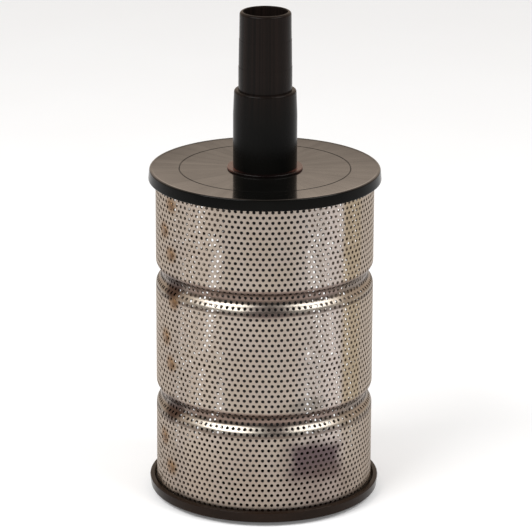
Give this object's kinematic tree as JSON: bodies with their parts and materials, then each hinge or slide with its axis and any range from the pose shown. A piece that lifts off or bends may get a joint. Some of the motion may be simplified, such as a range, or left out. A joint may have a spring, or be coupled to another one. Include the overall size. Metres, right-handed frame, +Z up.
{
  "type": "suction filter",
  "caption": "Suction filter for a pump hose: round perforated metal basket with rolled beads between black moulded caps, with a stepped hose tail on top.",
  "frame": {"origin": "middle of the foot ring that the filter stands on", "axes": "+Z up along the axis of the basket and the hose tail; the seam is towards -X and -Y"},
  "size_m": [0.1384, 0.1384, 0.2968],
  "materials": {
    "black_plastic": "glossy moulded, faintly scuffed",
    "red_fibre": "dull",
    "pipe_plastic": "dull extruded",
    "perforated_steel": "rolled perforated sheet, dull, heat stained at the welds"
  },
  "bodies": {
    "root": {"hose_tail": "black_plastic", "lid": "black_plastic", "bottom_cap": "black_plastic", "sealing_washer": "red_fibre", "suction_pipe": "pipe_plastic", "perforated_shell": "perforated_steel"}
  },
  "joints": []
}
